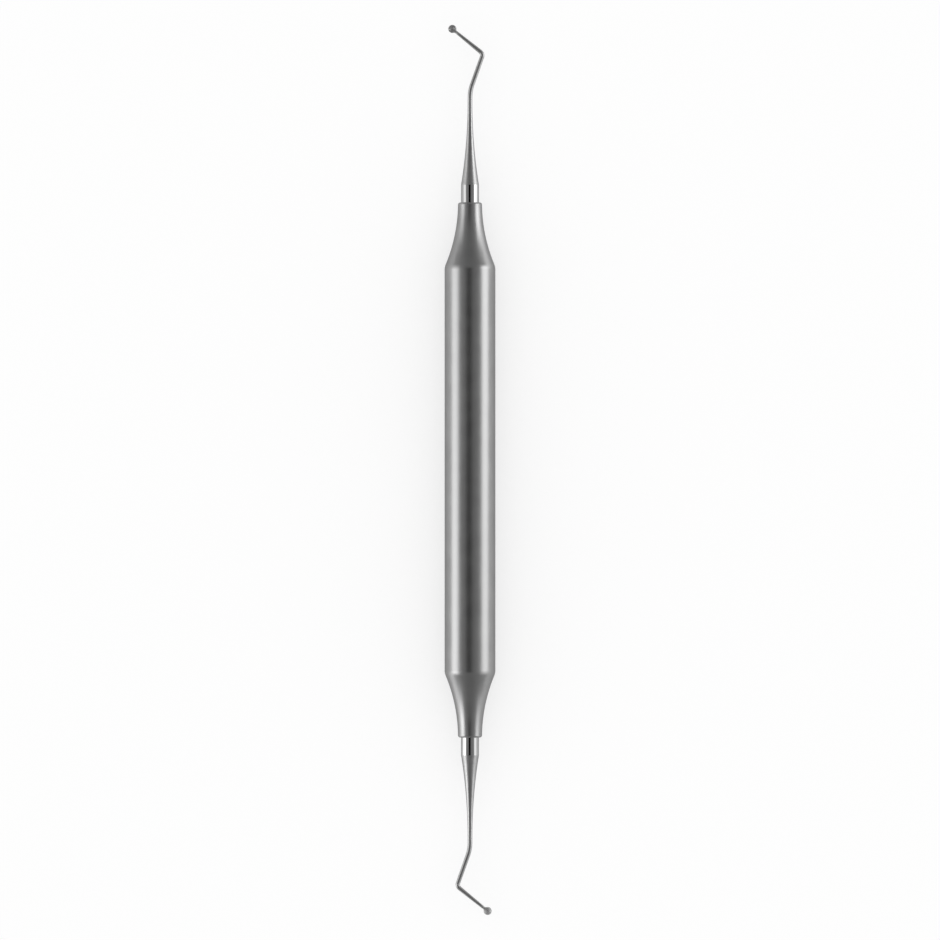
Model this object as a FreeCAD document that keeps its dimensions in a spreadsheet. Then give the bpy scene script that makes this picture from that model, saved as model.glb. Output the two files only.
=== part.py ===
import FreeCAD, Part
from enum import IntEnum
import math
import os
import Sketcher

# Double-ended spoon excavator, in millimetres.
# The instrument lies along Y on the surface below it, with +Z up.
# Its origin is on that surface, below the middle of the handle.

SHEET = "Dimensions"

DRIVING_DIMENSIONS = (
    ("grip_diameter", 9.5, "outside of the plain tube"),
    ("grip_length", 76.0, "plain tube between the two tapers"),
    ("wall", 0.9, "thickness of the tube"),
    ("taper_length", 12.0, "from the end of the grip to the nose"),
    ("nose_diameter", 4.5, "end face of the handle"),
    ("nose_edge", 0.4, "rounding of the nose"),
    ("grip_edge", 0.5, "softening where the taper starts"),
    ("press_gap", 0.01, "between the root and its socket, all round"),
    ("root_length", 8.5, "part of the working end inside the socket"),
    ("root_relief", 0.5, "room behind the root"),
    ("root_chamfer", 0.3, "lead-in on the root"),
    ("shank_diameter", 3.35, "polished bar that leaves the nose"),
    ("shank_length", 3.3, "bar between the nose and the cone"),
    ("cone_length", 15.6, "hollow taper from the bar to the neck"),
    ("neck_diameter", 0.87, "thin end of the cone"),
    ("neck_length", 0.7, "straight stretch before the first bend"),
    ("bend_radius", 7.5, "first bend, on the centre line"),
    ("bend_angle", 19.5, "first bend, in degrees"),
    ("lower_length", 5.4, "straight stretch between the bends"),
    ("elbow_radius", 0.9, "elbow, on the centre line"),
    ("elbow_angle", 70.5, "elbow, in degrees, the other way"),
    ("elbow_diameter", 0.8, "round section of the elbow"),
    ("arm_length", 6.76, "from the elbow to the spoon's centre"),
    ("wrist_diameter", 0.54, "thin end of the arm"),
    ("wrist_reach", 0.95, "from the spoon's centre to the wrist"),
    ("web_width", 0.92, "width of the arm where it spreads into the spoon"),
    ("web_depth", 0.4, "thickness of the arm there"),
    ("web_reach", 0.3, "from the spoon's centre to the end of the web"),
    ("spoon_diameter", 1.5, "outside of the round spoon"),
    ("spoon_rim", 0.22, "height of the rim over the arm's centre line"),
    ("spoon_back", 0.36, "depth of the back below the arm's centre line"),
    ("rim_depth", 0.06, "straight edge of the rim"),
    ("rim_land", 0.04, "flat ring round the hollow face"),
    ("dish_depth", 0.36, "hollow of the face"),
)

NOSE_TO_CENTRE = f"{SHEET}.grip_length / 2 + {SHEET}.taper_length"
NECK_END = f"{SHEET}.root_length + {SHEET}.shank_length + {SHEET}.cone_length + {SHEET}.neck_length"
ARM_TURN = f"{SHEET}.elbow_angle - {SHEET}.bend_angle"

EDGE_TOLERANCE = 0.001


class SketchAxis(IntEnum):
    """The two axes of a sketch, as its constraints number them."""

    HORIZONTAL = -1
    VERTICAL = -2


class SketchPoint(IntEnum):
    """The points of a line or an arc, as a sketch's constraints number them."""

    START = 1
    END = 2
    CENTRE = 3


ORIGIN = (SketchAxis.HORIZONTAL, SketchPoint.START)
START = SketchPoint.START
END = SketchPoint.END
CENTRE = SketchPoint.CENTRE


def size(alias):
    """Name a cell of the sheet the way an expression does."""
    return f"{SHEET}.{alias}"


def half(alias):
    """Halve a cell of the sheet."""
    return f"{SHEET}.{alias} / 2"


def write_sheet(document):
    """Write every driving dimension into the spreadsheet, under its own alias."""
    sheet = document.addObject("Spreadsheet::Sheet", SHEET)
    for row, (alias, value, note) in enumerate(DRIVING_DIMENSIONS, start=1):
        sheet.set(f"A{row}", alias)
        sheet.set(f"B{row}", str(value))
        sheet.set(f"C{row}", note)
        sheet.setAlias(f"B{row}", alias)
    document.recompute()


def add_body(document, label):
    """Start a sub-part whose label names its file."""
    body = document.addObject("PartDesign::Body", label)
    body.Label = label
    return body


def origin_plane(body, role):
    """Find one of the body's own origin planes by its role."""
    return next(item for item in body.Origin.OriginFeatures if item.Role == role)


def add_sketch(body, role, name):
    """Put a sketch on one of the body's own origin planes."""
    sketch = body.newObject("Sketcher::SketchObject", name)
    sketch.AttachmentSupport = [(origin_plane(body, role), "")]
    sketch.MapMode = "FlatFace"
    return sketch


def add_dimension(sketch, kind, places, expression):
    """Dimension a sketch and tie the dimension to the sheet."""
    value = sketch.evalExpression(expression)
    if kind == "Angle":
        value = math.radians(value)
    number = sketch.addConstraint(Sketcher.Constraint(kind, *places, value))
    sketch.setExpression(f"Constraints[{number}]", expression)


class Outline:
    """A closed profile of a turned piece: X is the radius and Y runs along the axis."""

    def __init__(self, sketch, radius, station):
        self.sketch = sketch
        self.first = (radius, station)
        self.first_corner = None
        self.last_corner = None
        self.here = self.evaluate(radius, station)

    def evaluate(self, radius, station):
        """Work out where a corner given by two expressions lies."""
        x = float(self.sketch.evalExpression(radius))
        y = float(self.sketch.evalExpression(station))
        return FreeCAD.Vector(x, y, 0)

    def pin(self, corner, radius, station):
        """Tie a corner to its distances from the axis and from the start plane."""
        for kind, expression, axis in (
            ("DistanceX", radius, SketchAxis.VERTICAL),
            ("DistanceY", station, SketchAxis.HORIZONTAL),
        ):
            if expression == "0":
                self.sketch.addConstraint(Sketcher.Constraint("PointOnObject", *corner, axis))
            else:
                add_dimension(self.sketch, kind, (*ORIGIN, *corner), expression)

    def join(self, edge, near, far, radius, station):
        """Join a new edge to the last corner and pin its far end."""
        if self.last_corner is None:
            self.first_corner = (edge, near)
            self.pin(self.first_corner, *self.first)
        else:
            self.sketch.addConstraint(Sketcher.Constraint("Coincident", *self.last_corner, edge, near))
        self.last_corner = (edge, far)
        if (radius, station) == self.first:
            closing = Sketcher.Constraint("Coincident", *self.last_corner, *self.first_corner)
            self.sketch.addConstraint(closing)
        else:
            self.pin(self.last_corner, radius, station)

    def line_to(self, radius, station):
        """Draw a straight side to a corner."""
        there = self.evaluate(radius, station)
        edge = self.sketch.addGeometry(Part.LineSegment(self.here, there), False)
        self.join(edge, START, END, radius, station)
        self.here = there

    def add_arc(self, centre, there):
        """Draw the short arc round a centre and say which of its ends is near."""
        circle = Part.Circle(centre, FreeCAD.Vector(0, 0, 1), (there - centre).Length)
        near_angle = circle.parameter(self.here)
        far_angle = circle.parameter(there)
        turns_left = (self.here - centre).cross(there - centre).z > 0
        angles = (near_angle, far_angle) if turns_left else (far_angle, near_angle)
        edge = self.sketch.addGeometry(Part.ArcOfCircle(circle, *angles), False)
        return (edge, START, END) if turns_left else (edge, END, START)

    def hollow_to(self, radius, station):
        """Draw a concave arc that ends parallel to the axis."""
        there = self.evaluate(radius, station)
        drop = self.here - there
        reach = drop.dot(drop) / (2 * drop.x)
        ends = self.add_arc(there + FreeCAD.Vector(reach, 0, 0), there)
        self.join(*ends, radius, station)
        self.sketch.addConstraint(Sketcher.Constraint("Horizontal", ends[0], CENTRE, *self.last_corner))
        self.here = there

    def dome_to(self, radius, station):
        """Draw an arc that is centred on the axis, as on a ball."""
        there = self.evaluate(radius, station)
        chord = there - self.here
        middle = (there + self.here) / 2
        height = middle.y + middle.x * chord.x / chord.y
        ends = self.add_arc(FreeCAD.Vector(0, height, 0), there)
        self.join(*ends, radius, station)
        self.sketch.addConstraint(Sketcher.Constraint("PointOnObject", ends[0], CENTRE, SketchAxis.VERTICAL))
        self.here = there


def revolve(body, kind, sketch, name):
    """Turn a profile a full turn round its own vertical axis."""
    feature = body.newObject(kind, name)
    feature.Profile = sketch
    feature.ReferenceAxis = (sketch, ["V_Axis"])
    feature.Angle = 360
    return feature


def round_rings(body, base, name, rounding, radius, station):
    """Fillet the ring-shaped edge of a radius at a station of each half of a turned piece."""
    ring = FreeCAD.Vector(base.evalExpression(radius), base.evalExpression(station), 0)
    names = []
    for number, edge in enumerate(base.Shape.Edges, start=1):
        box = edge.BoundBox
        place = FreeCAD.Vector(box.XMax, abs(box.YMin), box.YLength)
        if place.isEqual(ring, EDGE_TOLERANCE):
            names.append(f"Edge{number}")
    fillet = body.newObject("PartDesign::Fillet", name)
    fillet.Base = (base, names)
    fillet.setExpression("Radius", size(rounding))
    return fillet


def make_handle(document):
    """Turned and hollow, with a trumpet-shaped taper and a socket at each end."""
    body = add_body(document, "handle")
    cavity = f"{half('grip_diameter')} - {size('wall')}"
    bore = f"{half('shank_diameter')} + {size('press_gap')}"
    socket_floor = f"{NOSE_TO_CENTRE} - {size('root_length')} - {size('root_relief')}"
    cavity_end = f"{socket_floor} - ({cavity} - ({bore}))"

    profile = add_sketch(body, "XY_Plane", "HalfProfile")
    outline = Outline(profile, cavity, "0")
    outline.line_to(half("grip_diameter"), "0")
    outline.line_to(half("grip_diameter"), half("grip_length"))
    outline.hollow_to(half("nose_diameter"), NOSE_TO_CENTRE)
    outline.line_to(bore, NOSE_TO_CENTRE)
    outline.line_to(bore, socket_floor)
    outline.line_to(cavity, cavity_end)
    outline.line_to(cavity, "0")
    one_half = revolve(body, "PartDesign::Revolution", profile, "OneHalf")
    document.recompute()

    whole = body.newObject("PartDesign::Mirrored", "BothHalves")
    whole.Originals = [one_half]
    whole.MirrorPlane = (origin_plane(body, "XZ_Plane"), [""])
    body.Tip = whole
    document.recompute()

    nose_edges = round_rings(body, whole, "NoseEdges", "nose_edge", half("nose_diameter"), NOSE_TO_CENTRE)
    document.recompute()
    round_rings(body, nose_edges, "GripEdges", "grip_edge", half("grip_diameter"), half("grip_length"))
    body.setExpression("Placement.Base.z", half("grip_diameter"))
    return body


def draw_centre_line(body):
    """Draw the bent centre line, from the neck round both bends to the spoon's centre."""
    sketch = add_sketch(body, "XY_Plane", "CentreLine")
    bend_radius = sketch.evalExpression(size("bend_radius"))
    elbow_radius = sketch.evalExpression(size("elbow_radius"))
    first_heading = math.radians(sketch.evalExpression(size("bend_angle")))
    last_heading = first_heading - math.radians(sketch.evalExpression(size("elbow_angle")))

    def along(heading):
        return FreeCAD.Vector(math.sin(heading), math.cos(heading), 0)

    def across(heading):
        return FreeCAD.Vector(math.cos(heading), -math.sin(heading), 0)

    up = FreeCAD.Vector(0, 0, 1)
    neck = FreeCAD.Vector(0, sketch.evalExpression(NECK_END), 0)
    bend_centre = neck + across(0) * bend_radius
    bend_end = bend_centre - across(first_heading) * bend_radius
    elbow_start = bend_end + along(first_heading) * sketch.evalExpression(size("lower_length"))
    elbow_centre = elbow_start - across(first_heading) * elbow_radius
    elbow_end = elbow_centre + across(last_heading) * elbow_radius
    spoon_centre = elbow_end + along(last_heading) * sketch.evalExpression(size("arm_length"))

    bend_circle = Part.Circle(bend_centre, up, bend_radius)
    elbow_circle = Part.Circle(elbow_centre, up, elbow_radius)
    bend = sketch.addGeometry(Part.ArcOfCircle(bend_circle, math.pi - first_heading, math.pi), False)
    lower = sketch.addGeometry(Part.LineSegment(bend_end, elbow_start), False)
    elbow = sketch.addGeometry(Part.ArcOfCircle(elbow_circle, -first_heading, -last_heading), False)
    arm = sketch.addGeometry(Part.LineSegment(elbow_end, spoon_centre), True)

    sketch.addConstraint(Sketcher.Constraint("Tangent", bend, START, lower, START))
    sketch.addConstraint(Sketcher.Constraint("Tangent", lower, END, elbow, START))
    sketch.addConstraint(Sketcher.Constraint("Tangent", elbow, END, arm, START))
    sketch.addConstraint(Sketcher.Constraint("PointOnObject", bend, END, SketchAxis.VERTICAL))
    sketch.addConstraint(Sketcher.Constraint("Horizontal", bend, END, bend, CENTRE))
    add_dimension(sketch, "DistanceY", (*ORIGIN, bend, END), NECK_END)
    add_dimension(sketch, "Radius", (bend,), size("bend_radius"))
    add_dimension(sketch, "Angle", (bend,), size("bend_angle"))
    add_dimension(sketch, "Distance", (lower,), size("lower_length"))
    add_dimension(sketch, "Radius", (elbow,), size("elbow_radius"))
    add_dimension(sketch, "Angle", (elbow,), size("elbow_angle"))
    add_dimension(sketch, "Distance", (arm,), size("arm_length"))
    add_readings(sketch, "elbow_end", (arm, START))
    add_readings(sketch, "spoon", (arm, END))
    return sketch


def add_readings(sketch, name, point):
    """Measure where a point of the centre line lies, for the sketches that stand on it."""
    for kind, axis in (("DistanceX", "x"), ("DistanceY", "y")):
        number = sketch.addConstraint(Sketcher.Constraint(kind, *ORIGIN, *point, 0.0))
        sketch.setDriving(number, False)
        sketch.renameConstraint(number, f"{name}_{axis}")


def reading(name):
    """Read a place off the centre line as a plain number."""
    return f"CentreLine.Constraints.{name} / 1 mm"


def stand_across(sketch, x, y, turn):
    """Move a sketch to a point of the centre line and turn it about the vertical."""
    sketch.AttachmentOffset = FreeCAD.Placement(
        FreeCAD.Vector(0, 0, 0), FreeCAD.Rotation(FreeCAD.Vector(0, 1, 0), 1)
    )
    sketch.setExpression("AttachmentOffset.Base.x", x)
    sketch.setExpression("AttachmentOffset.Base.z", f"-({y})")
    sketch.setExpression("AttachmentOffset.Rotation.Angle", turn)


def add_oval(sketch, width, depth):
    """Draw an oval section round the centre line."""
    radii = (sketch.evalExpression(width) / 2, sketch.evalExpression(depth) / 2)
    oval = sketch.addGeometry(Part.Ellipse(FreeCAD.Vector(0, 0, 0), *radii), False)
    sketch.exposeInternalGeometry(oval)
    sketch.addConstraint(Sketcher.Constraint("Coincident", oval, CENTRE, *ORIGIN))
    across, upright = oval + 1, oval + 2
    sketch.addConstraint(Sketcher.Constraint("Horizontal", across))
    add_dimension(sketch, "Distance", (across,), width)
    add_dimension(sketch, "Distance", (upright,), depth)


def add_round(sketch, diameter):
    """Draw a round section round the centre line."""
    radius = sketch.evalExpression(diameter) / 2
    circle = Part.Circle(FreeCAD.Vector(0, 0, 0), FreeCAD.Vector(0, 0, 1), radius)
    edge = sketch.addGeometry(circle, False)
    sketch.addConstraint(Sketcher.Constraint("Coincident", edge, CENTRE, *ORIGIN))
    add_dimension(sketch, "Diameter", (edge,), diameter)


def add_stem(body):
    """Turn the root, the bar, the hollow cone and the neck."""
    bar = half("shank_diameter")
    neck = half("neck_diameter")
    cone_start = f"{size('root_length')} + {size('shank_length')}"
    profile = add_sketch(body, "XY_Plane", "StemProfile")
    outline = Outline(profile, "0", "0")
    outline.line_to(f"{bar} - {size('root_chamfer')}", "0")
    outline.line_to(bar, size("root_chamfer"))
    outline.line_to(bar, cone_start)
    outline.hollow_to(neck, f"{cone_start} + {size('cone_length')}")
    outline.line_to(neck, NECK_END)
    outline.line_to("0", NECK_END)
    outline.line_to("0", "0")
    revolve(body, "PartDesign::Revolution", profile, "Stem")


def add_bends(body, centre_line):
    """Sweep the neck round both bends, thinning to the elbow's section."""
    neck = add_sketch(body, "XZ_Plane", "NeckSection")
    stand_across(neck, "0", NECK_END, "0")
    add_round(neck, size("neck_diameter"))
    elbow = add_sketch(body, "XZ_Plane", "ElbowSection")
    stand_across(elbow, reading("elbow_end_x"), reading("elbow_end_y"), ARM_TURN)
    add_round(elbow, size("elbow_diameter"))
    body.Document.recompute()
    bends = body.newObject("PartDesign::AdditivePipe", "Bends")
    bends.Profile = neck
    bends.Spine = (centre_line, [])
    bends.Transformation = "Multisection"
    bends.Sections = [elbow]
    return elbow


def add_arm(body, elbow):
    """Taper the arm to its wrist and spread it into the spoon."""

    def short_of_spoon(reach):
        x = f"{reading('spoon_x')} + {size(reach)} * sin({ARM_TURN})"
        y = f"{reading('spoon_y')} - {size(reach)} * cos({ARM_TURN})"
        return x, y, ARM_TURN

    wrist = add_sketch(body, "XZ_Plane", "WristSection")
    stand_across(wrist, *short_of_spoon("wrist_reach"))
    add_round(wrist, size("wrist_diameter"))
    web = add_sketch(body, "XZ_Plane", "WebSection")
    stand_across(web, *short_of_spoon("web_reach"))
    add_oval(web, size("web_width"), size("web_depth"))
    body.Document.recompute()
    arm = body.newObject("PartDesign::AdditiveLoft", "Arm")
    arm.Profile = elbow
    arm.Sections = [wrist, web]
    arm.Ruled = True


def add_spoon(body):
    """Turn the round blank with its domed back, then hollow its face."""
    rim = f"{size('spoon_back')} + {size('spoon_rim')}"
    headroom = f"{rim} + {size('wrist_diameter')}"
    hollow = f"{half('spoon_diameter')} - {size('rim_land')}"

    def upright_sketch(name):
        sketch = add_sketch(body, "XZ_Plane", name)
        sketch.setExpression("AttachmentOffset.Base.x", reading("spoon_x"))
        sketch.setExpression("AttachmentOffset.Base.y", f"-{size('spoon_back')}")
        sketch.setExpression("AttachmentOffset.Base.z", f"-({reading('spoon_y')})")
        return sketch

    blank = upright_sketch("BlankProfile")
    outline = Outline(blank, "0", "0")
    outline.dome_to(half("spoon_diameter"), f"{rim} - {size('rim_depth')}")
    outline.line_to(half("spoon_diameter"), rim)
    outline.line_to("0", rim)
    outline.line_to("0", "0")
    revolve(body, "PartDesign::Revolution", blank, "Blank")

    dish = upright_sketch("DishProfile")
    outline = Outline(dish, "0", f"{rim} - {size('dish_depth')}")
    outline.dome_to(hollow, rim)
    outline.line_to(hollow, headroom)
    outline.line_to("0", headroom)
    outline.line_to("0", f"{rim} - {size('dish_depth')}")
    revolve(body, "PartDesign::Groove", dish, "Dish")


def make_working_end(document):
    """One piece of polished bar, from its root in the socket to the round spoon."""
    body = add_body(document, "up_facing_working_end")
    centre_line = draw_centre_line(body)
    add_stem(body)
    elbow = add_bends(body, centre_line)
    add_arm(body, elbow)
    add_spoon(body)
    body.setExpression("Placement.Base.y", f"{NOSE_TO_CENTRE} - {size('root_length')}")
    body.setExpression("Placement.Base.z", half("grip_diameter"))
    return body


def make_opposite_hand(document, working_end):
    """Mirror the working end and turn it end for end, as the other of a left and right pair."""
    mirrored = document.addObject("Part::Mirroring", "down_facing_working_end")
    mirrored.Label = "down_facing_working_end"
    mirrored.Source = working_end
    mirrored.Normal = FreeCAD.Vector(0, 0, 1)
    mirrored.setExpression("Base.z", half("grip_diameter"))
    mirrored.Placement = FreeCAD.Placement(
        FreeCAD.Vector(0, 0, 0), FreeCAD.Rotation(FreeCAD.Vector(0, 0, 1), 180)
    )
    return mirrored


def check_model(document, sub_parts):
    """Stop before anything is written if a feature failed or a shape is unsound."""
    failed = [item.Name for item in document.Objects if {"Invalid", "Error"} & set(item.State)]
    if failed:
        raise RuntimeError(f"these features failed: {', '.join(failed)}")
    for sub_part in sub_parts:
        shape = sub_part.Shape
        if shape.isNull() or not shape.isValid() or len(shape.Solids) != 1:
            raise RuntimeError(f"{sub_part.Label} isn't one valid solid")


def main():
    document = FreeCAD.newDocument("SpoonExcavator")
    write_sheet(document)
    handle = make_handle(document)
    working_end = make_working_end(document)
    opposite_hand = make_opposite_hand(document, working_end)
    document.recompute()

    sub_parts = (handle, working_end, opposite_hand)
    check_model(document, sub_parts)
    os.makedirs("parts", exist_ok=True)
    for sub_part in sub_parts:
        sub_part.Shape.exportStep(f"parts/{sub_part.Label}.step")
        print(f"{sub_part.Label}: {sub_part.Shape.Volume:.1f} mm3")


main()
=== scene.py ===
"""Dress the spoon excavator: smooth steel surfaces over its frame, a white table and a light tent.

The instrument lies along Y with +Z up. The end on the +Y side has its spoon facing up, and the
end on the -Y side is its mirror image turned end for end. The handle is satin-blasted. Each
working end has a polished bar, a ground cone and shank, and a matt spoon. Shapes are worked out
in millimetres and put into their meshes in metres.
"""

from __future__ import annotations

import logging
from dataclasses import dataclass
from enum import Enum

import bpy
import numpy as np
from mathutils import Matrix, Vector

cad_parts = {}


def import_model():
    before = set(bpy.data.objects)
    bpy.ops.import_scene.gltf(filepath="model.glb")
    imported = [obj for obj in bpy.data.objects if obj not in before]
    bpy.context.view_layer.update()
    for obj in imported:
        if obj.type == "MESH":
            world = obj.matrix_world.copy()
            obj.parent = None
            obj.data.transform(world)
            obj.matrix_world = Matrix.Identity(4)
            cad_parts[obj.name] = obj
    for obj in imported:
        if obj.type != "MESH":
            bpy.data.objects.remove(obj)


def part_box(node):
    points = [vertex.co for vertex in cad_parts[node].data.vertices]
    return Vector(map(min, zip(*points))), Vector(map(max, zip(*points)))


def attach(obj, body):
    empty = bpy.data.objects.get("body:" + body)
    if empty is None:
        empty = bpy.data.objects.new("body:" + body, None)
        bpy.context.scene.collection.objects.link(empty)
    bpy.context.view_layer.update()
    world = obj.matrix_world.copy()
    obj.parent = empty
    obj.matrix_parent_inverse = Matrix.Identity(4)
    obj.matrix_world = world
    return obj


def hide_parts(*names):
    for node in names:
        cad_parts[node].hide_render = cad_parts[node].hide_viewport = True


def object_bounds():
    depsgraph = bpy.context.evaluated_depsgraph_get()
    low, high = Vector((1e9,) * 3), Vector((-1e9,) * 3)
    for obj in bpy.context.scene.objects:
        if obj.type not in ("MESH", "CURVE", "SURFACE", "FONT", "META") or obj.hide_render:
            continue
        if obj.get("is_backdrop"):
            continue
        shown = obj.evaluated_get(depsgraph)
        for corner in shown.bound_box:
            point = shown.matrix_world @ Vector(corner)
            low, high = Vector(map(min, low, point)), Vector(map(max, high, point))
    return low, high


LOG = logging.getLogger("spoon_excavator")
MILLIMETRE = 0.001
FINISH_MARK = "finish"
STRAIGHT_PLACE = "straight"
DEGREES_PER_RADIAN = 180.0 / np.pi
HORIZON = 90.0
# A rounding of no width is given this much, so that nothing is divided by zero.
LEAST_WIDTH = 0.0001

Socket = bpy.types.NodeSocket


class Hand(Enum):
    """The two working ends of the left and right pair, by the node that each one replaces."""

    UP_FACING = "up_facing_working_end"
    DOWN_FACING = "down_facing_working_end"


class Cut(Enum):
    """How one solid is combined with another."""

    JOIN = "UNION"
    HOLLOW = "DIFFERENCE"


def smooth_step(share: np.ndarray) -> np.ndarray:
    """Ease a share from 0 to 1, level at both ends."""
    share = np.clip(share, 0.0, 1.0)
    return share**2 * (3.0 - 2.0 * share)


def smooth_minimum(
    one: np.ndarray, other: np.ndarray | float, width: np.ndarray | float
) -> np.ndarray:
    """Take the lesser of two values, with the corner between them rounded.

    The corner loses a quarter of the width times the square of a share, which is 1 where the
    two values are equal and 0 where they are a width apart.

    Args:
        one: first values.
        other: second values.
        width: how far apart the two are where the rounding starts.

    Returns:
        One value per place.
    """
    share = np.clip(1.0 - np.abs(one - other) / np.maximum(width, LEAST_WIDTH), 0.0, 1.0)
    return np.minimum(one, other) - width / 4.0 * share**2


def arc_radius(half_chord: float, rise: float) -> float:
    """Work out the radius of the circle whose arc rises by that much over half a chord."""
    return (half_chord**2 + rise**2) / (2.0 * rise)


def full_turn(spokes: int) -> np.ndarray:
    """Spread angles evenly round a full turn, in radians."""
    return np.linspace(0.0, 2.0 * np.pi, spokes, endpoint=False)


def ring_quads(rings: int, spokes: int, closed: bool) -> np.ndarray:
    """Index the quads between neighbouring rings of points.

    Each ring closes on itself. Where closed is true, the last ring also joins the first.

    Args:
        rings: number of rings.
        spokes: number of points in a ring.
        closed: whether the rings themselves form a loop.

    Returns:
        An array of four corner numbers per quad.
    """
    ring = np.arange(rings if closed else rings - 1)[:, None]
    spoke = np.arange(spokes)[None, :]
    next_ring = (ring + 1) % rings
    next_spoke = (spoke + 1) % spokes
    corners = (
        ring * spokes + spoke,
        next_ring * spokes + spoke,
        next_ring * spokes + next_spoke,
        ring * spokes + next_spoke,
    )
    return np.stack(corners, axis=-1).reshape(-1, 4)


def fan(first: int, spokes: int, tip: int, reverse: bool) -> np.ndarray:
    """Index the triangles that close a ring onto one point.

    Args:
        first: number of the ring's first point.
        spokes: number of points in the ring.
        tip: number of the point that they meet in.
        reverse: turn the triangles the other way round.

    Returns:
        An array of three corner numbers per triangle.
    """
    near = first + np.arange(spokes)
    far = first + (np.arange(spokes) + 1) % spokes
    sides = (far, near) if reverse else (near, far)
    return np.stack((*sides, np.full(spokes, tip)), axis=-1)


def make_object(name: str, points: np.ndarray, *face_groups: np.ndarray) -> bpy.types.Object:
    """Put whole arrays of points and faces into a new mesh object at the origin.

    Args:
        name: name of the object and its mesh.
        points: one row of coordinates per vertex.
        face_groups: arrays of corner numbers, one row per face.

    Returns:
        The new object, linked to the scene.
    """
    corners = np.concatenate([group.ravel() for group in face_groups])
    sizes = np.concatenate([np.full(len(group), group.shape[1]) for group in face_groups])
    starts = np.concatenate(([0], np.cumsum(sizes)[:-1]))
    mesh = bpy.data.meshes.new(name)
    mesh.vertices.add(len(points))
    mesh.vertices.foreach_set("co", points.astype(np.float32).ravel())
    mesh.loops.add(len(corners))
    mesh.loops.foreach_set("vertex_index", corners.astype(np.int32))
    mesh.polygons.add(len(sizes))
    mesh.polygons.foreach_set("loop_start", starts.astype(np.int32))
    mesh.update(calc_edges=True)
    mesh.validate()
    piece = bpy.data.objects.new(name, mesh)
    bpy.context.scene.collection.objects.link(piece)
    return piece


def revolved(name: str, radii: np.ndarray, stations: np.ndarray, spokes: int) -> bpy.types.Object:
    """Turn an open profile, whose two ends lie on the axis, into a closed solid round Z.

    A point at angle a is (radius cos a, radius sin a, station). The two ends are single points.

    Args:
        name: name of the object.
        radii: distances from the axis, zero at both ends.
        stations: heights along the axis, from bottom to top.
        spokes: number of points round the axis.

    Returns:
        The new object.
    """
    angle = full_turn(spokes)
    inner_radii, inner_stations = radii[1:-1], stations[1:-1]
    rings = len(inner_radii)
    points = np.stack(
        (
            inner_radii[:, None] * np.cos(angle),
            inner_radii[:, None] * np.sin(angle),
            np.broadcast_to(inner_stations[:, None], (rings, spokes)),
        ),
        axis=-1,
    ).reshape(-1, 3)
    poles = np.array([[0.0, 0.0, stations[0]], [0.0, 0.0, stations[-1]]])
    quads = ring_quads(rings, spokes, closed=False)[:, ::-1]
    bottom = fan(0, spokes, rings * spokes, reverse=True)
    top = fan((rings - 1) * spokes, spokes, rings * spokes + 1, reverse=False)
    return make_object(name, np.concatenate((points, poles)), quads, bottom, top)


def combine(base: bpy.types.Object, tool: bpy.types.Object, cut: Cut) -> None:
    """Join a solid to another or cut it out of it, and use the tool up.

    Args:
        base: the solid that is kept.
        tool: the solid that is added or taken away.
        cut: which of the two is done.
    """
    modifier = base.modifiers.new("combine", "BOOLEAN")
    modifier.object = tool
    modifier.operation = cut.value
    modifier.solver = "EXACT"
    evaluated = base.evaluated_get(bpy.context.evaluated_depsgraph_get())
    result = bpy.data.meshes.new_from_object(evaluated)
    base.modifiers.clear()
    old = base.data
    base.data = result
    bpy.data.meshes.remove(old)
    bpy.data.objects.remove(tool)


def read_points(piece: bpy.types.Object) -> np.ndarray:
    """Read a mesh's vertices as one array.

    Args:
        piece: the object to read.

    Returns:
        One row of coordinates per vertex.
    """
    points = np.empty(len(piece.data.vertices) * 3, dtype=np.float32)
    piece.data.vertices.foreach_get("co", points)
    return points.reshape(-1, 3).astype(np.float64)


def write_points(piece: bpy.types.Object, points: np.ndarray) -> None:
    """Write a mesh's vertices back from one array."""
    piece.data.vertices.foreach_set("co", points.astype(np.float32).ravel())
    piece.data.update()


def smooth_by_angle(piece: bpy.types.Object, degrees: float) -> None:
    """Shade a piece smooth and keep the edges sharper than an angle crisp."""
    piece.data.polygons.foreach_set("use_smooth", np.ones(len(piece.data.polygons), dtype=bool))
    piece.data.set_sharp_from_angle(angle=np.radians(degrees))


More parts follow.
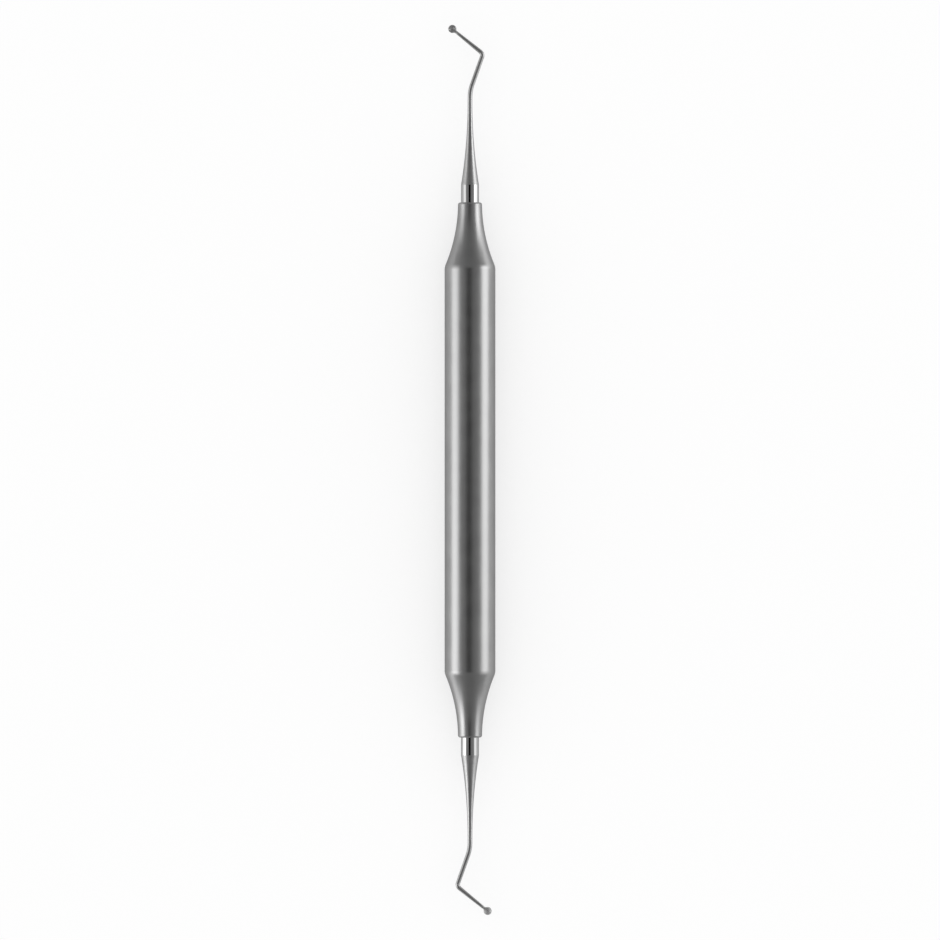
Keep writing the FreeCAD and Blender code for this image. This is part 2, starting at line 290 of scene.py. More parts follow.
class NodeBench:
    """A material's or the world's node tree, with short ways to add and join its nodes."""

    def __init__(self, tree: bpy.types.NodeTree) -> None:
        """Empty the tree."""
        self.tree = tree
        tree.nodes.clear()

    def add(self, kind: str, **settings: object) -> bpy.types.Node:
        """Add a node.

        Args:
            kind: Blender's name for the kind of node.
            settings: the node's own properties.

        Returns:
            The new node.
        """
        node = self.tree.nodes.new(kind)
        for name, value in settings.items():
            setattr(node, name, value)
        return node

    def join(self, source: Socket, target: Socket) -> None:
        """Join an output to an input."""
        self.tree.links.new(source, target)

    def maths(self, operation: str, *values: Socket | float) -> Socket:
        """Work out one number.

        Args:
            operation: Blender's name for the operation.
            values: the sockets and plain numbers that it takes.

        Returns:
            The result's socket.
        """
        node = self.add("ShaderNodeMath", operation=operation)
        for socket, value in zip(node.inputs, values):
            if isinstance(value, Socket):
                self.join(value, socket)
            else:
                socket.default_value = value
        return node.outputs[0]

    def times(self, first: Socket, *others: Socket | float) -> Socket:
        """Multiply a socket by other sockets and plain numbers.

        Args:
            first: the socket to start from.
            others: what it is multiplied by, one after the other.

        Returns:
            The product's socket.
        """
        product = first
        for other in others:
            product = self.maths("MULTIPLY", product, other)
        return product

    def blend(self, share: Socket, start: Socket, end: Socket | float) -> Socket:
        """Go from one value to another by a share, as start + share (end - start)."""
        gap = self.maths("SUBTRACT", end, start)
        return self.maths("ADD", start, self.maths("MULTIPLY", share, gap))

    def ramp(self, value: Socket, low: float, high: float, start: float, end: float) -> Socket:
        """Map a value smoothly from one range onto another, and hold it past both ends.

        Args:
            value: the socket to map.
            low: where the ramp begins.
            high: where it is over.
            start: result at low and below it.
            end: result at high and above it.

        Returns:
            The result's socket.
        """
        node = self.add("ShaderNodeMapRange", interpolation_type="SMOOTHSTEP", clamp=True)
        self.join(value, node.inputs["Value"])
        node.inputs["From Min"].default_value = low
        node.inputs["From Max"].default_value = high
        node.inputs["To Min"].default_value = start
        node.inputs["To Max"].default_value = end
        return node.outputs["Result"]

    def edge(self, value: Socket, place: float, soft: float, start: float, end: float) -> Socket:
        """Change from start to end where a value passes a place, over a soft band on each side."""
        return self.ramp(value, place - soft, place + soft, start, end)

    def noise(self, place: Socket, grains: tuple[float, float, float], detail: float) -> Socket:
        """Sample noise at a place.

        Args:
            place: the place's socket.
            grains: number of grains per metre along each axis.
            detail: how many finer layers are added.

        Returns:
            The noise's socket, from 0 to 1.
        """
        mapping = self.add("ShaderNodeMapping")
        mapping.inputs["Scale"].default_value = grains
        self.join(place, mapping.inputs["Vector"])
        node = self.add("ShaderNodeTexNoise")
        node.inputs["Scale"].default_value = 1.0
        node.inputs["Detail"].default_value = detail
        self.join(mapping.outputs["Vector"], node.inputs["Vector"])
        return node.outputs["Fac"]

    def steel(
        self, level: Socket, gloss: Socket, relief: Socket, depth: float, edge_tint: float
    ) -> None:
        """Finish a material's tree as bare grey metal.

        Args:
            level: the grey of the metal.
            gloss: its roughness.
            relief: the pattern that stands up from it.
            depth: height of that pattern, in metres.
            edge_tint: how much it reflects at grazing angles.
        """
        metal = self.add("ShaderNodeBsdfPrincipled")
        metal.inputs["Metallic"].default_value = 1.0
        metal.inputs["Specular Tint"].default_value = (edge_tint,) * 3 + (1.0,)
        colour = self.add("ShaderNodeCombineColor")
        for channel in ("Red", "Green", "Blue"):
            self.join(level, colour.inputs[channel])
        self.join(colour.outputs["Color"], metal.inputs["Base Color"])
        self.join(gloss, metal.inputs["Roughness"])
        bump = self.add("ShaderNodeBump")
        bump.inputs["Distance"].default_value = depth
        self.join(relief, bump.inputs["Height"])
        self.join(bump.outputs["Normal"], metal.inputs["Normal"])
        output = self.add("ShaderNodeOutputMaterial")
        self.join(metal.outputs["BSDF"], output.inputs["Surface"])


@dataclass(frozen=True)
class BlastedSteel:
    """The handle's finish: stainless steel, bead-blasted to an even satin grey."""

    name: str = "blasted_steel"
    dark: float = 0.30
    light: float = 0.34
    roughness_low: float = 0.30
    roughness_high: float = 0.33
    edge_tint: float = 0.6
    grains_per_metre: float = 11000.0
    grain_detail: float = 3.0
    clouds_per_metre: float = 320.0
    cloud_detail: float = 2.0
    grain_share: float = 0.5
    noise_low: float = 0.3
    noise_high: float = 0.7
    grain_depth: float = 0.0000030

    def material(self) -> bpy.types.Material:
        """Build the node material: fine grain in the relief, faint clouds in colour and gloss.

        Returns:
            The material.
        """
        material = bpy.data.materials.new(self.name)
        material.use_nodes = True
        bench = NodeBench(material.node_tree)
        place = bench.add("ShaderNodeTexCoord").outputs["Object"]
        grain = bench.noise(place, (self.grains_per_metre,) * 3, self.grain_detail)
        clouds = bench.noise(place, (self.clouds_per_metre,) * 3, self.cloud_detail)
        mottle = bench.maths(
            "ADD",
            bench.times(grain, self.grain_share),
            bench.times(clouds, 1.0 - self.grain_share),
        )
        level = bench.ramp(mottle, self.noise_low, self.noise_high, self.dark, self.light)
        gloss = bench.ramp(
            clouds, self.noise_low, self.noise_high, self.roughness_low, self.roughness_high
        )
        bench.steel(level, gloss, grain, self.grain_depth, self.edge_tint)
        return material


@dataclass(frozen=True)
class PolishedSteel:
    """The working ends' finish: a polished bar, a finely ground shank and a matt spoon."""

    name: str = "polished_steel"
    dark: float = 0.41
    light: float = 0.47
    roughness_low: float = 0.04
    roughness_high: float = 0.09
    edge_tint: float = 0.5
    ground_shade: float = -0.07
    ground_roughness: float = 0.28
    matt_shade: float = 0.12
    matt_roughness: float = 0.30
    lines_per_metre: float = 9000.0
    line_stretch: float = 0.02
    line_detail: float = 2.0
    shade_low: float = 0.3
    shade_high: float = 0.7
    gloss_low: float = 0.35
    gloss_high: float = 0.75
    line_depth: float = 0.0000006

    def material(self) -> bpy.types.Material:
        """Build the node material: faint lengthwise polishing lines in colour, gloss and relief.

        The lines follow the bends, because their places are those on the bar before it was
        bent. The piece's own mark is 0 where it is polished, 1 where it is ground and 2 where it
        is matt. Ground places are darker and less glossy, and matt ones lighter and duller still.

        Returns:
            The material.
        """
        material = bpy.data.materials.new(self.name)
        material.use_nodes = True
        bench = NodeBench(material.node_tree)
        place = bench.add("ShaderNodeAttribute", attribute_name=STRAIGHT_PLACE).outputs["Vector"]
        mark = bench.add("ShaderNodeAttribute", attribute_name=FINISH_MARK).outputs["Fac"]
        across = self.lines_per_metre
        lines = bench.noise(place, (across, across * self.line_stretch, across), self.line_detail)

        level = bench.ramp(lines, self.shade_low, self.shade_high, self.dark, self.light)
        level = bench.maths("ADD", level, bench.ramp(mark, 0.0, 1.0, 0.0, self.ground_shade))
        level = bench.maths("ADD", level, bench.ramp(mark, 1.0, 2.0, 0.0, self.matt_shade))
        gloss = bench.ramp(
            lines, self.gloss_low, self.gloss_high, self.roughness_low, self.roughness_high
        )
        gloss = bench.maths("ADD", gloss, bench.ramp(mark, 0.0, 1.0, 0.0, self.ground_roughness))
        gloss = bench.maths("ADD", gloss, bench.ramp(mark, 1.0, 2.0, 0.0, self.matt_roughness))
        bench.steel(level, gloss, lines, self.line_depth, self.edge_tint)
        return material


@dataclass
class TrumpetHandle:
    """The hollow handle: a plain grip, with a concave taper, a nose and a socket at each end.

    Sizes are in millimetres. The grip's radius and the length from nose to nose come from the
    frame.
    """

    grip_radius: float
    nose_to_nose: float
    taper_length: float = 12.0
    nose_radius: float = 2.25
    nose_edge: float = 0.4
    grip_edge: float = 0.25
    corner_before: float = 1.0
    corner_after: float = 0.6
    bore_radius: float = 1.685
    socket_depth: float = 9.0
    wall: float = 0.9
    nose_rings: int = 14
    taper_rings: int = 72
    corner_rings: int = 33
    grip_rings: int = 24
    spokes: int = 224
    crease_degrees: float = 35.0

    def outer_radius(self, from_nose: np.ndarray) -> np.ndarray:
        """Work out the outside radius at distances from the nose.

        The taper is an arc that runs parallel to the axis at the nose and reaches the grip's
        radius at the far end. It goes on a little past that and then stays level, above the
        grip. It meets the grip in a smooth minimum, and a quarter circle rounds the nose.

        Args:
            from_nose: distances from the nose.

        Returns:
            One radius per distance.
        """
        bow = arc_radius(self.taper_length, self.grip_radius - self.nose_radius)
        reach = np.minimum(from_nose, self.taper_length + self.corner_before)
        taper = self.nose_radius + bow - np.sqrt(bow**2 - reach**2)
        radius = smooth_minimum(taper, self.grip_radius, self.grip_edge)
        edge = np.clip(self.nose_edge - from_nose, 0.0, self.nose_edge)
        return radius - self.nose_edge + np.sqrt(self.nose_edge**2 - edge**2)

    def half_profile(self) -> np.ndarray:
        """Trace the wall from the middle of the grip, over the nose and back along the inside.

        Returns:
            Rows of (radius, distance from the middle).
        """
        half = self.nose_to_nose / 2.0
        corner_start = self.taper_length - self.corner_before
        corner_end = self.taper_length + self.corner_after
        quarter_turn = np.linspace(0.0, np.pi / 2.0, self.nose_rings)
        rounding = self.nose_edge * (1.0 - np.cos(quarter_turn))
        stretches = (
            (self.nose_edge, corner_start, self.taper_rings),
            (corner_start, corner_end, self.corner_rings),
            (corner_end, half, self.grip_rings),
        )
        rows = [np.linspace(start, end, count)[1:] for start, end, count in stretches]
        from_nose = np.concatenate((rounding, *rows))[::-1]
        outside = np.stack((self.outer_radius(from_nose), half - from_nose), axis=-1)

        cavity = self.grip_radius - self.wall
        floor = half - self.socket_depth
        flank = floor - (cavity - self.bore_radius)
        inside = np.array(
            [
                (self.bore_radius, half),
                (self.bore_radius, half - self.nose_edge),
                (self.bore_radius, floor),
                (cavity, flank),
            ]
        )
        return np.concatenate((outside, inside))

    def build(self, axis_height: float) -> bpy.types.Object:
        """Turn the whole wall section round the handle's axis.

        A point at angle a is (radius cos a, distance, height + radius sin a).

        Args:
            axis_height: height of the axis over the table, in millimetres.

        Returns:
            The handle, in metres.
        """
        upper = self.half_profile()
        lower = upper[::-1] * (1.0, -1.0)
        section = np.concatenate((upper, lower[:-1]))
        angle = full_turn(self.spokes)
        points = np.stack(
            (
                section[:, :1] * np.cos(angle),
                np.broadcast_to(section[:, 1:], (len(section), self.spokes)),
                axis_height + section[:, :1] * np.sin(angle),
            ),
            axis=-1,
        ).reshape(-1, 3)
        quads = ring_quads(len(section), self.spokes, closed=True)
        piece = make_object("satin_handle", points * MILLIMETRE, quads)
        smooth_by_angle(piece, self.crease_degrees)
        return piece


@dataclass
class WorkingEnd:
    """One working end: root, bar, hollow cone, neck, two bends, arm and dished spoon.

    Sizes are in millimetres. A station is a distance along the centre line from the nose of the
    handle, and the root has negative stations.
    """

    hand: Hand
    nose_place: float
    axis_height: float
    root_length: float = 8.5
    root_chamfer: float = 0.3
    bar_radius: float = 1.675
    bar_length: float = 3.3
    bar_edge: float = 0.02
    cone_length: float = 15.6
    neck_radius: float = 0.435
    neck_length: float = 0.7
    bend_radius: float = 7.5
    bend_angle: float = 19.5
    lower_length: float = 5.4
    elbow_radius: float = 0.9
    elbow_angle: float = 70.5
    elbow_half_width: float = 0.4
    arm_length: float = 6.76
    wrist_half_width: float = 0.27
    wrist_reach: float = 0.95
    wrist_run: float = 0.6
    web_half_width: float = 0.46
    web_reach: float = 0.3
    flat_half_depth: float = 0.2
    flat_start: float = 1.35
    flat_reach: float = 0.75
    spoon_radius: float = 0.75
    rim_height: float = 0.22
    back_depth: float = 0.36
    rim_depth: float = 0.06
    rim_land: float = 0.04
    dish_depth: float = 0.36
    fillet: float = 0.2
    fillet_room: float = 0.2
    fade: float = 0.2
    matt_fade: float = 1.2
    centre_line_samples: int = 6001
    spokes: int = 112
    spoon_spokes: int = 176
    back_rings: int = 40
    top_rings: int = 12
    top_band: float = 0.1
    dish_rings: int = 36
    fill_passes: int = 4
    fill_step: float = 0.0005
    least_steepness: float = 0.25
    unbend_passes: int = 24
    crease_degrees: float = 32.0

    def __post_init__(self) -> None:
        """Work out where one stretch ends and the next begins, and the radius of the back."""
        self.cone_end = self.bar_length + self.cone_length
        self.bend_start = self.cone_end + self.neck_length
        self.bend_end = self.bend_start + self.bend_radius * np.radians(self.bend_angle)
        self.elbow_start = self.bend_end + self.lower_length
        self.elbow_end = self.elbow_start + self.elbow_radius * np.radians(self.elbow_angle)
        self.spoon_station = self.elbow_end + self.arm_length
        self.wrist_station = self.spoon_station - self.wrist_reach
        self.web_station = self.spoon_station - self.web_reach
        back_rise = self.rim_height - self.rim_depth + self.back_depth
        self.back_ball = arc_radius(self.spoon_radius, back_rise)

    def heading(self, station: np.ndarray) -> np.ndarray:
        """Work out the centre line's heading, in radians from +Y towards +X.

        It is a ramp up over the bend, less a steeper ramp over the elbow.

        Args:
            station: distances along the centre line.

        Returns:
            One heading per station.
        """
        bend, elbow = np.radians(self.bend_angle), np.radians(self.elbow_angle)
        bent = np.clip((station - self.bend_start) / self.bend_radius, 0.0, bend)
        return bent - np.clip((station - self.elbow_start) / self.elbow_radius, 0.0, elbow)

    def centre_line(self, station: np.ndarray) -> np.ndarray:
        """Work out the centre line's places at stations.

        Its place is the running integral of (sine of the heading, cosine of the heading).

        Args:
            station: distances along the centre line.

        Returns:
            Rows of (x, y).
        """
        end = self.spoon_station + 2.0 * self.spoon_radius
        fine = np.linspace(-self.root_length, end, self.centre_line_samples)
        heading = self.heading(fine)
        direction = np.stack((np.sin(heading), np.cos(heading)), axis=-1)
        steps = (direction[1:] + direction[:-1]) / 2.0 * np.diff(fine)[:, None]
        place = np.concatenate(([[0.0, -self.root_length]], steps)).cumsum(axis=0)
        return np.stack([np.interp(station, fine, place[:, axis]) for axis in (0, 1)], axis=-1)

    def round_radius(self, station: np.ndarray) -> np.ndarray:
        """Work out the radius of the round bar that the whole end is drawn down from.

        The cone is an arc that runs parallel to the axis at the neck. From there the radius falls
        in straight lines to the elbow and the wrist.

        Args:
            station: distances along the centre line.

        Returns:
            One radius per station.
        """
        bow = arc_radius(self.cone_length, self.bar_radius - self.neck_radius)
        to_neck = np.clip(self.cone_end - station, 0.0, self.cone_length)
        cone = self.neck_radius + bow - np.sqrt(bow**2 - to_neck**2)
        from_tip = station + self.root_length
        chamfer = np.clip(self.root_chamfer - from_tip, 0.0, self.root_chamfer)
        thin = np.interp(
            station,
            (self.bend_start, self.elbow_end, self.wrist_station),
            (self.neck_radius, self.elbow_half_width, self.wrist_half_width),
        )
        return np.where(station < self.bend_start, cone - chamfer, thin)

    def half_width(self, station: np.ndarray) -> np.ndarray:
        """Work out half the width across the bends, which spreads from the wrist into the web."""
        web = smooth_step((station - self.wrist_station) / (self.wrist_reach - self.web_reach))
        return self.round_radius(station) + (self.web_half_width - self.wrist_half_width) * web

    def half_depth(self, station: np.ndarray) -> np.ndarray:
        """Work out half the thickness, which flattens before the spoon to pass under its rim.

        Args:
            station: distances along the centre line.

        Returns:
            One half thickness per station.
        """
        from_start = station - (self.spoon_station - self.flat_start)
        flat = smooth_step(from_start / (self.flat_start - self.flat_reach))
        radius = self.round_radius(station)
        return radius + (self.flat_half_depth - radius) * flat

    def stations(self) -> np.ndarray:
        """Choose the rings' stations, closer together where the centre line or the width turns.

        Each stretch has a start, an end and a number of rings.

        Returns:
            The stations from the root's tip to the web.
        """
        chamfer_end = -self.root_length + self.root_chamfer
        wrist_start = self.wrist_station - self.wrist_run
        stretches = (
            (-self.root_length, chamfer_end, 2),
            (chamfer_end, 0.0, 4),
            (0.0, self.bar_length - self.bar_edge, 6),
            (self.bar_length - self.bar_edge, self.bar_length + self.bar_edge, 2),
            (self.bar_length + self.bar_edge, self.bend_start, 96),
            (self.bend_start, self.bend_end, 28),
            (self.bend_end, self.elbow_start, 18),
            (self.elbow_start, self.elbow_end, 36),
            (self.elbow_end, wrist_start, 30),
            (wrist_start, self.web_station, 60),
        )
        rows = [np.linspace(start, end, count, endpoint=False) for start, end, count in stretches]
        return np.concatenate((*rows, [self.web_station]))

    def shank(self) -> bpy.types.Object:
        """Carry an oval section along the centre line.

        At angle a a ring's point is the centre, plus the half width times cos a across the
        heading, plus the half depth times sin a upwards.

        Returns:
            The shank, in millimetres from the nose.
        """
        station = self.stations()
        heading = self.heading(station)
        centre = self.centre_line(station)
        across = np.stack((np.cos(heading), -np.sin(heading)), axis=-1)
        angle = full_turn(self.spokes)
        wide = self.half_width(station)[:, None] * np.cos(angle)
        deep = self.half_depth(station)[:, None] * np.sin(angle)
        plan = centre[:, None, :] + wide[..., None] * across[:, None, :]
        rings = np.concatenate((plan, deep[..., None]), axis=-1)
        tips = np.zeros((2, 3))
        tips[:, :2] = centre[[0, -1]]
        points = np.concatenate((rings.reshape(-1, 3), tips))
        count = len(station)
        quads = ring_quads(count, self.spokes, closed=False)
        root = fan(0, self.spokes, count * self.spokes, reverse=False)
        end = fan((count - 1) * self.spokes, self.spokes, count * self.spokes + 1, reverse=True)
        return make_object(f"{self.hand.value}_shank", points, quads, root, end)

    def blank(self) -> bpy.types.Object:
        """Turn the spoon's blank: a ball-shaped back, a short straight rim and a flat top.

        Returns:
            The blank, in millimetres from the spoon's centre.
        """
        ball = self.back_ball
        sweep = np.linspace(0.0, np.arcsin(self.spoon_radius / ball), self.back_rings)
        back_radii = ball * np.sin(sweep)
        back_heights = -self.back_depth + ball * (1.0 - np.cos(sweep))
        band_end = self.spoon_radius - self.top_band
        top_radii = np.append(np.linspace(self.spoon_radius, band_end, self.top_rings), 0.0)
        radii = np.concatenate((back_radii, top_radii))
        heights = np.concatenate((back_heights, np.full(len(top_radii), self.rim_height)))
        return revolved(f"{self.hand.value}_blank", radii, heights, self.spoon_spokes)

    def dish(self) -> bpy.types.Object:
        """Turn the tool that hollows the face: a ball-shaped end under a straight side.

        Returns:
            The tool, in millimetres from the spoon's centre.
        """
        mouth = self.spoon_radius - self.rim_land
        ball = arc_radius(mouth, self.dish_depth)
        sweep = np.linspace(0.0, np.arcsin(mouth / ball), self.dish_rings)
        floor_radii = ball * np.sin(sweep)
        floor_heights = self.rim_height - self.dish_depth + ball * (1.0 - np.cos(sweep))
        headroom = self.rim_height + 2.0 * self.wrist_half_width
        radii = np.concatenate((floor_radii, (mouth, 0.0)))
        heights = np.concatenate((floor_heights, (headroom, headroom)))
        return revolved(f"{self.hand.value}_dish", radii, heights, self.spoon_spokes)

    def depth_outside(self, points: np.ndarray) -> np.ndarray:
        """Measure how far points lie outside the arm and the blank joined with a fillet.

        Outside the arm it is the oval's excess over its slope, and it grows past the middle of
        the back, so that the arm fades out there. Outside the blank it is the most of three
        distances, from the ball, the rim and the top. The two are joined by a smooth minimum,
        whose fillet shrinks to nothing at the height of the rim and leaves its edge sharp.

        Args:
            points: places relative to the spoon's centre, turned so that the arm comes from -Y.

        Returns:
            One signed distance per point.
        """
        station = self.spoon_station + points[:, 1]
        wide, deep = self.half_width(station), self.half_depth(station)
        oval = np.hypot(points[:, 0] / wide, points[:, 2] / deep)
        slope = np.hypot(points[:, 0] / wide**2, points[:, 2] / deep**2)
        past = np.clip(points[:, 1] / self.fade + 1.0, 0.0, None)
        arm = (oval - 1.0) * oval / np.maximum(slope, 1.0) + self.fillet * past**2
        ball = self.back_ball
        from_axis = np.hypot(points[:, 0], points[:, 1])
        from_ball = np.hypot(from_axis, points[:, 2] + self.back_depth - ball) - ball
        sides = np.maximum(from_axis - self.spoon_radius, points[:, 2] - self.rim_height)
        blank = np.maximum(from_ball, sides)
        fillet = self.fillet * smooth_step((self.rim_height - points[:, 2]) / self.fillet_room)
        return smooth_minimum(arm, blank, fillet)

    def fill_corner(self, points: np.ndarray) -> np.ndarray:
        """Move the points of the joined arm and blank onto the fillet between them.

        Each point takes a few steps along the slope of depth_outside, worked out from small
        differences, until it reads zero.

        Args:
            points: places relative to the spoon's centre, turned so that the arm comes from -Y.

        Returns:
            The same points, moved where they are near the corner.
        """
        near = np.abs(points[:, 1] + self.spoon_radius) < self.wrist_reach
        moved = points[near]
        for _ in range(self.fill_passes):
            differences = [
                self.depth_outside(moved + shift) - self.depth_outside(moved - shift)
                for shift in np.eye(3) * self.fill_step
            ]
            slope = np.stack(differences, axis=-1) / (2.0 * self.fill_step)
            steepness = np.maximum((slope**2).sum(axis=-1), self.least_steepness)
            moved = moved - (self.depth_outside(moved) / steepness)[:, None] * slope
        filled = points.copy()
        filled[near] = moved
        return filled

    def unbend(self, points: np.ndarray) -> np.ndarray:
        """Find where points lie on the straight bar that the end is bent from.

        The nearest station starts from the distance ahead of the nose, and each pass moves it
        along the centre line by what is still missing.

        Args:
            points: places from the nose, with +Y ahead.

        Returns:
            Rows of (across, station, height).
        """
        station = points[:, 1]
        for _ in range(self.unbend_passes):
            heading = self.heading(station)
            gap = points[:, :2] - self.centre_line(station)
            station = station + gap[:, 0] * np.sin(heading) + gap[:, 1] * np.cos(heading)
        across = gap[:, 0] * np.cos(heading) - gap[:, 1] * np.sin(heading)
        return np.stack((across, station, points[:, 2]), axis=-1)

    def mark_finish(self, piece: bpy.types.Object, points: np.ndarray, spoon: np.ndarray) -> None:
        """Store where the piece is ground and matt, and its places on the straight bar.

        Args:
            piece: the working end.
            points: its points from the nose, with +Y ahead.
            spoon: the spoon's centre.
        """
        ground = (points[:, 1] > self.bar_length).astype(np.float32)
        from_rim = np.linalg.norm(points - spoon, axis=-1) - self.spoon_radius
        matt = 1.0 - smooth_step(from_rim / self.matt_fade)
        mark = piece.data.attributes.new(FINISH_MARK, "FLOAT", "POINT")
        mark.data.foreach_set("value", (ground + matt).astype(np.float32))
        straight = piece.data.attributes.new(STRAIGHT_PLACE, "FLOAT_VECTOR", "POINT")
        places = self.unbend(points) * MILLIMETRE
        straight.data.foreach_set("vector", places.astype(np.float32).ravel())

    def build(self) -> bpy.types.Object:
        """Join the shank to the spoon, fill the corner, hollow the face and put it in place.

        Returns:
            The working end, in metres.
        """
        centre_station = np.array([self.spoon_station])
        heading = float(self.heading(centre_station)[0])
        spoon = np.append(self.centre_line(centre_station)[0], 0.0)
        turn = np.array(
            [
                [np.cos(heading), -np.sin(heading), 0.0],
                [np.sin(heading), np.cos(heading), 0.0],
                [0.0, 0.0, 1.0],
            ]
        )
        piece = self.shank()
        write_points(piece, (read_points(piece) - spoon) @ turn.T)
        combine(piece, self.blank(), Cut.JOIN)
        write_points(piece, self.fill_corner(read_points(piece)))
        combine(piece, self.dish(), Cut.HOLLOW)

        points = read_points(piece) @ turn + spoon
        self.mark_finish(piece, points, spoon)
        points[:, 1] += self.nose_place
        if self.hand is Hand.DOWN_FACING:
            points = -points
            piece.data.flip_normals()
        points[:, 2] += self.axis_height
        write_points(piece, points * MILLIMETRE)
        piece.name = f"polished_{self.hand.value}"
        smooth_by_angle(piece, self.crease_degrees)
        return piece


@dataclass
class PhotoStudio:
    """A white table in a light tent, with the camera straight above.

    The camera and matt surfaces see a white surround. Metal sees the tent: a softbox along each
    side of the instrument, a grey roof between them with the dark patch of the camera in it, a
    lighter horizon towards the ends, and a painted pool of light in the table beside each end.
    Distances are in metres. Tilts are in degrees from straight up, reaches in degrees towards the
    ends, and brightnesses are those that metal sees.
    """

    camera_height: float = 1.3
    camera_range: float = 50.0
    margin: float = 1.06
    sensor: float = 36.0
    table_size: float = 4.0
    table_shade: float = 0.97
    table_glow: float = 0.62
    table_glow_in_metal: float = 0.2
    # Strength of the painted pool of light in the table, which only metal sees.
    pool_light: float = 3.4
    pool_near: float = 0.009
    pool_far: float = 0.028
    pool_start: float = 0.040
    pool_end: float = 0.048
    roof_middle: float = 0.29
    roof_side: float = 0.42
    roof_far: float = 0.85
    roof_near_reach: float = 14.0
    roof_far_reach: float = 44.0
    skirt: float = 0.30
    lens_shift: float = -4.0
    lens_half_angle: float = 12.5
    lens_side_soft: float = 2.0
    lens_half_length: float = 14.0
    lens_end_soft: float = 4.0
    box_inner: float = 55.0
    box_outer_weak: float = 98.0
    box_outer_strong: float = 91.0
    box_soft: float = 5.0
    box_strong: float = 3.5
    box_weak: float = 1.7
    box_swap: float = 2.5
    box_reach: float = 22.0
    box_reach_soft: float = 11.0
    horizon_light: float = 0.75
    horizon_start: float = 56.0
    horizon_reach: float = 37.0
    horizon_reach_soft: float = 4.0

    def table(self) -> bpy.types.Object:
        """Lay a wide white sheet under the instrument.

        The sheet is matt card with some glow of its own, more for the camera than for metal.
        Beside each end a painted pool of light makes the card glow brighter, and only metal sees
        it.

        Returns:
            The sheet.
        """
        square = np.array([[-1, -1, 0], [1, -1, 0], [1, 1, 0], [-1, 1, 0]])
        corners = square * self.table_size / 2.0
        sheet = make_object("white_table", corners, np.array([[0, 1, 2, 3]]))
        material = bpy.data.materials.new("white_table_card")
        material.use_nodes = True
        bench = NodeBench(material.node_tree)
        card = bench.add("ShaderNodeBsdfDiffuse")
        card.inputs["Color"].default_value = (self.table_shade,) * 3 + (1.0,)
        rays = bench.add("ShaderNodeLightPath").outputs
        mirrored = rays["Is Glossy Ray"]

        place = bench.add("ShaderNodeSeparateXYZ")
        bench.join(bench.add("ShaderNodeTexCoord").outputs["Object"], place.inputs["Vector"])
        x, y, _ = place.outputs
        # Painted pool of light: the card glows brighter beside each end, for glossy rays alone.
        lit_side = bench.times(x, bench.maths("SIGN", y))
        from_middle = bench.maths("ABSOLUTE", y)
        beside = bench.ramp(lit_side, self.pool_near, self.pool_far, 0.0, self.pool_light)
        near_end = bench.ramp(from_middle, self.pool_start, self.pool_end, 0.0, 1.0)
        pool = bench.times(beside, near_end, mirrored)
        white = bench.add("ShaderNodeEmission")
        bench.join(bench.maths("ADD", 1.0, pool), white.inputs["Strength"])

        seen = bench.maths("MAXIMUM", rays["Is Camera Ray"], rays["Is Transmission Ray"])
        seen = bench.times(seen, self.table_glow)
        in_metal = bench.times(mirrored, self.table_glow_in_metal)
        mixed = bench.add("ShaderNodeMixShader")
        bench.join(bench.maths("MAXIMUM", seen, in_metal), mixed.inputs["Fac"])
        bench.join(card.outputs["BSDF"], mixed.inputs[1])
        bench.join(white.outputs["Emission"], mixed.inputs[2])
        output = bench.add("ShaderNodeOutputMaterial")
        bench.join(mixed.outputs["Shader"], output.inputs["Surface"])
        sheet.data.materials.append(material)
        return sheet

    def softboxes(self, bench: NodeBench, side: Socket, along: Socket) -> tuple[Socket, Socket]:
        """Hang a softbox on each side, the strong one to the right of the +Y end's axis.

        The strong one changes sides in the middle, so it is to the left of the -Y end's.

        Args:
            bench: the world's nodes.
            side: degrees from straight up towards +X.
            along: degrees towards +Y.

        Returns:
            Where a softbox stands, from 0 to 1, and how bright it is there.
        """
        tilt = bench.maths("ABSOLUTE", side)
        reach = bench.maths("ABSOLUTE", along)
        same_side = bench.times(bench.maths("SIGN", side), along)
        strong = bench.edge(same_side, 0.0, self.box_swap, 0.0, 1.0)
        strength = bench.edge(same_side, 0.0, self.box_swap, self.box_weak, self.box_strong)
        narrowing = bench.times(strong, self.box_outer_weak - self.box_outer_strong)
        narrowed = bench.maths("ADD", tilt, narrowing)
        inner = bench.edge(tilt, self.box_inner, self.box_soft, 0.0, 1.0)
        outer = bench.edge(narrowed, self.box_outer_weak, self.box_soft, 1.0, 0.0)
        ends = bench.edge(reach, self.box_reach, self.box_reach_soft, 1.0, 0.0)
        return bench.times(inner, outer, ends), strength

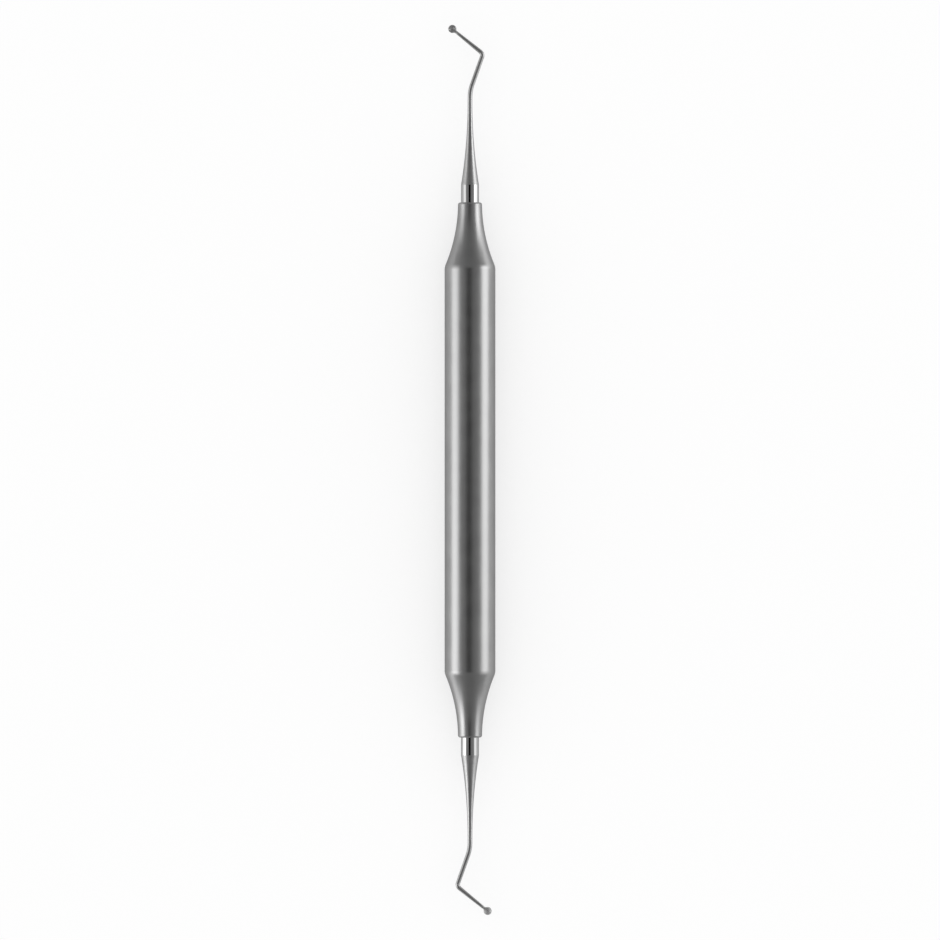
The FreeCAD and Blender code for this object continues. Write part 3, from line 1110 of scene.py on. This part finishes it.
    def roof(self, bench: NodeBench, side: Socket, along: Socket) -> Socket:
        """Spread the grey roof, with the camera's dark patch in it and a lighter horizon.

        Args:
            bench: the world's nodes.
            side: degrees from straight up towards +X.
            along: degrees towards +Y.

        Returns:
            The roof's brightness.
        """
        tilt = bench.maths("ABSOLUTE", side)
        reach = bench.maths("ABSOLUTE", along)
        rising = bench.ramp(
            tilt, self.lens_half_angle, self.box_inner, self.roof_middle, self.roof_side
        )
        falling = bench.ramp(
            tilt, self.box_inner, self.box_outer_strong, 0.0, self.skirt - self.roof_side
        )
        dimming = bench.ramp(reach, self.roof_near_reach, self.roof_far_reach, 1.0, self.roof_far)
        surround = bench.times(bench.maths("ADD", rising, falling), dimming)
        low = bench.ramp(tilt, self.horizon_start, HORIZON, 0.0, 1.0)
        beyond = bench.edge(reach, self.horizon_reach, self.horizon_reach_soft, 0.0, 1.0)
        surround = bench.blend(bench.times(low, beyond), surround, self.horizon_light)
        from_lens = bench.maths("ABSOLUTE", bench.maths("SUBTRACT", side, self.lens_shift))
        lens_side = bench.edge(from_lens, self.lens_half_angle, self.lens_side_soft, 1.0, 0.0)
        lens_end = bench.edge(reach, self.lens_half_length, self.lens_end_soft, 1.0, 0.0)
        clear = bench.maths("SUBTRACT", 1.0, bench.times(lens_side, lens_end))
        return bench.times(surround, clear)

    def light_tent(self) -> bpy.types.World:
        """Build the surround: white for the camera and for matt surfaces, the tent for metal.

        Returns:
            The world.
        """
        world = bpy.data.worlds.new("light_tent")
        world.use_nodes = True
        bench = NodeBench(world.node_tree)
        direction = bench.add("ShaderNodeSeparateXYZ")
        outlook = bench.add("ShaderNodeTexCoord").outputs["Generated"]
        bench.join(outlook, direction.inputs["Vector"])
        x, y, z = direction.outputs
        side = bench.times(bench.maths("ARCTAN2", x, z), DEGREES_PER_RADIAN)
        along = bench.times(bench.maths("ARCSINE", y), DEGREES_PER_RADIAN)
        softbox, strength = self.softboxes(bench, side, along)
        tent = bench.blend(softbox, self.roof(bench, side, along), strength)

        rays = bench.add("ShaderNodeLightPath")
        shown = bench.add("ShaderNodeMix", data_type="FLOAT")
        shown.inputs["A"].default_value = 1.0
        bench.join(rays.outputs["Is Glossy Ray"], shown.inputs["Factor"])
        bench.join(tent, shown.inputs["B"])
        background = bench.add("ShaderNodeBackground")
        background.inputs["Color"].default_value = (1.0, 1.0, 1.0, 1.0)
        bench.join(shown.outputs["Result"], background.inputs["Strength"])
        output = bench.add("ShaderNodeOutputWorld")
        bench.join(background.outputs["Background"], output.inputs["Surface"])
        return world

    def camera(self, length: float) -> bpy.types.Object:
        """Hang a long-lens camera over the middle of the instrument.

        Args:
            length: overall length of the instrument, in metres, which fills the frame's height.

        Returns:
            The camera.
        """
        data = bpy.data.cameras.new("overhead_camera")
        data.sensor_width = self.sensor
        data.lens = self.sensor * self.camera_height / (length * self.margin)
        data.clip_end = self.camera_range
        camera = bpy.data.objects.new("overhead_camera", data)
        camera.location = (0.0, 0.0, self.camera_height)
        bpy.context.scene.collection.objects.link(camera)
        return camera

    def build(self, length: float) -> None:
        """Set up the table, the tent and the camera.

        Args:
            length: overall length of the instrument, in metres.
        """
        self.table()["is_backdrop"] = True
        scene = bpy.context.scene
        scene.world = self.light_tent()
        scene.camera = self.camera(length)
        scene.view_settings.view_transform = "Standard"


def dress(piece: bpy.types.Object, node: str, material: bpy.types.Material) -> None:
    """Give a piece its finish, and let it stand for its node of the frame.

    Args:
        piece: the new surface.
        node: the node that it replaces.
        material: its finish.
    """
    piece.data.materials.append(material)
    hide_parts(node)
    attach(piece, "root")
    LOG.info("%s: %d faces", piece.name, len(piece.data.polygons))


def main() -> None:
    """Build the handle, both working ends and the studio, in that order."""
    logging.basicConfig(level=logging.INFO, format="%(name)s: %(message)s")
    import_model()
    frame_box = [list(map(float, corner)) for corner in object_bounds()]
    low, high = (np.array(corner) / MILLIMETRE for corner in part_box("handle"))
    axis_height = (high[2] + low[2]) / 2.0
    nose_to_nose = high[1] - low[1]

    satin = BlastedSteel().material()
    handle = TrumpetHandle(grip_radius=(high[2] - low[2]) / 2.0, nose_to_nose=nose_to_nose)
    dress(handle.build(axis_height), "handle", satin)

    polish = PolishedSteel().material()
    for hand in Hand:
        working_end = WorkingEnd(hand=hand, nose_place=nose_to_nose / 2.0, axis_height=axis_height)
        dress(working_end.build(), hand.value, polish)

    lowest, highest = frame_box
    PhotoStudio().build(length=highest[1] - lowest[1])


if __name__ == "__main__":
    main()
